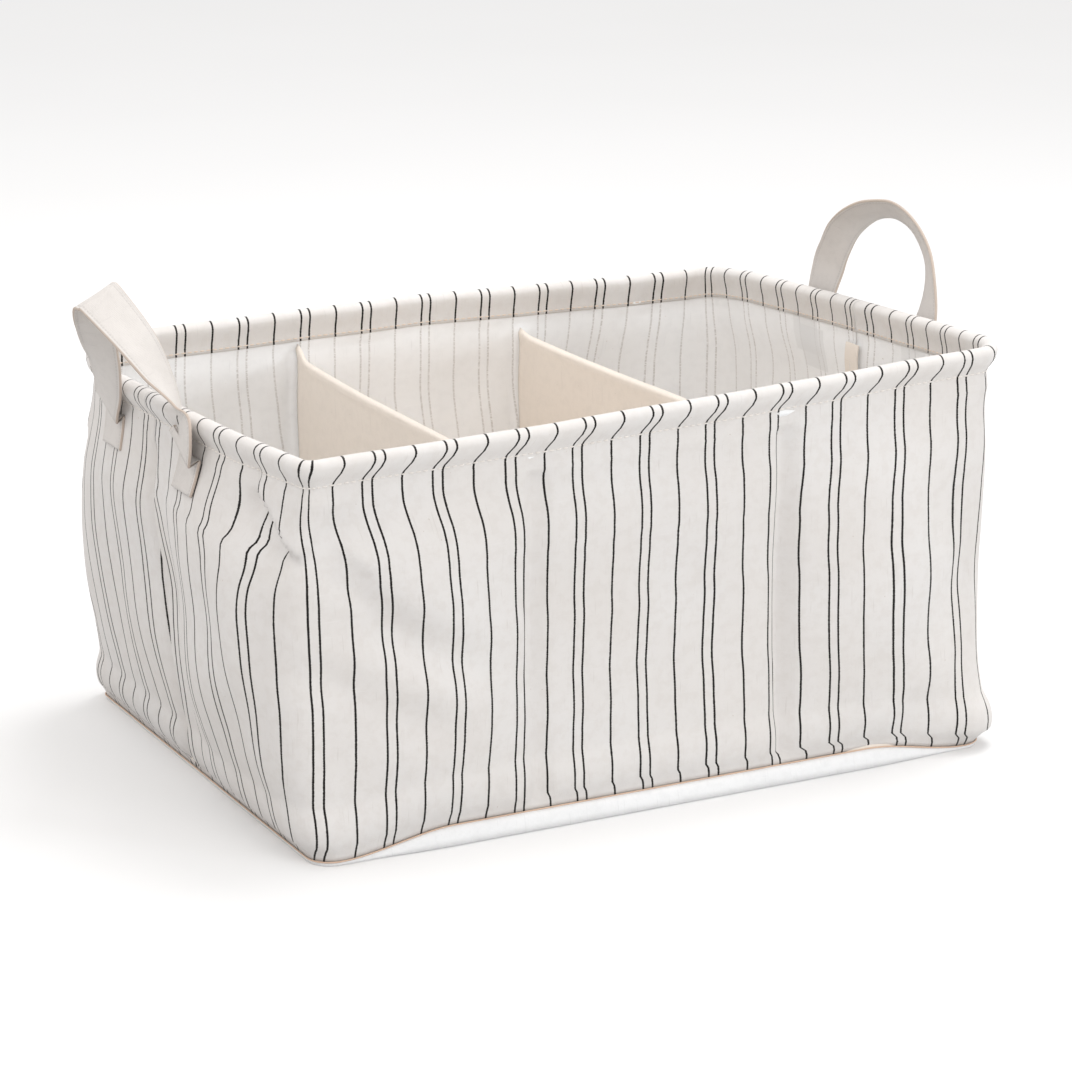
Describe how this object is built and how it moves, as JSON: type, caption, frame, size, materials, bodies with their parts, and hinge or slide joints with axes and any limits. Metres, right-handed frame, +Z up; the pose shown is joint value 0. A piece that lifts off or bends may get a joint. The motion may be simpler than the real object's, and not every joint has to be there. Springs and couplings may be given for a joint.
{
  "type": "storage basket",
  "caption": "Rectangular striped canvas storage basket with a wired rim, fabric dividers and a strap handle at each end.",
  "frame": {"origin": "middle of the flat underside, on the surface that the basket stands on", "axes": "+Z up, +X along the long side from the left handle to the right handle, +Y from the front to the back"},
  "size_m": [0.4618, 0.298, 0.2584],
  "materials": {
    "striped_canvas": "natural cotton canvas with fine dark ticking stripes",
    "plain_canvas": "unbleached plain cotton canvas",
    "strap_canvas": "folded cotton canvas strap, top-stitched",
    "seam_tape": "bound cotton seam tape",
    "fibre_board": "smooth brown fibre board",
    "spring_steel": "drawn spring steel wire"
  },
  "bodies": {
    "basket": {"wall_front": "striped_canvas", "wall_back": "striped_canvas", "rim_wire": "spring_steel", "rim_wire_ferrule": "spring_steel", "base_panel": "plain_canvas", "base_board": "fibre_board", "base_lining": "plain_canvas", "base_seam_tape": "seam_tape", "side_seam_tape_left": "seam_tape", "side_seam_tape_right": "seam_tape", "divider_left": "plain_canvas", "divider_right": "plain_canvas", "handle_left_end_front": "strap_canvas", "handle_left_end_back": "strap_canvas", "handle_right_end_front": "strap_canvas", "handle_right_end_back": "strap_canvas"},
    "handle_left": {"handle_left_loop": "strap_canvas"},
    "handle_right": {"handle_right_loop": "strap_canvas"}
  },
  "joints": [
    {"name": "handle_left_swing", "type": "hinge", "parent": "basket", "child": "handle_left", "pos_m": [-0.20795, 0.007, 0.18052], "axis": [-0.0153, -0.9999, -0.0034], "range_deg": [-18, 140]},
    {"name": "handle_right_swing", "type": "hinge", "parent": "basket", "child": "handle_right", "pos_m": [0.19621, -0.006, 0.18925], "axis": [0.0025, 0.9991, -0.0413], "range_deg": [-6, 150]}
  ]
}
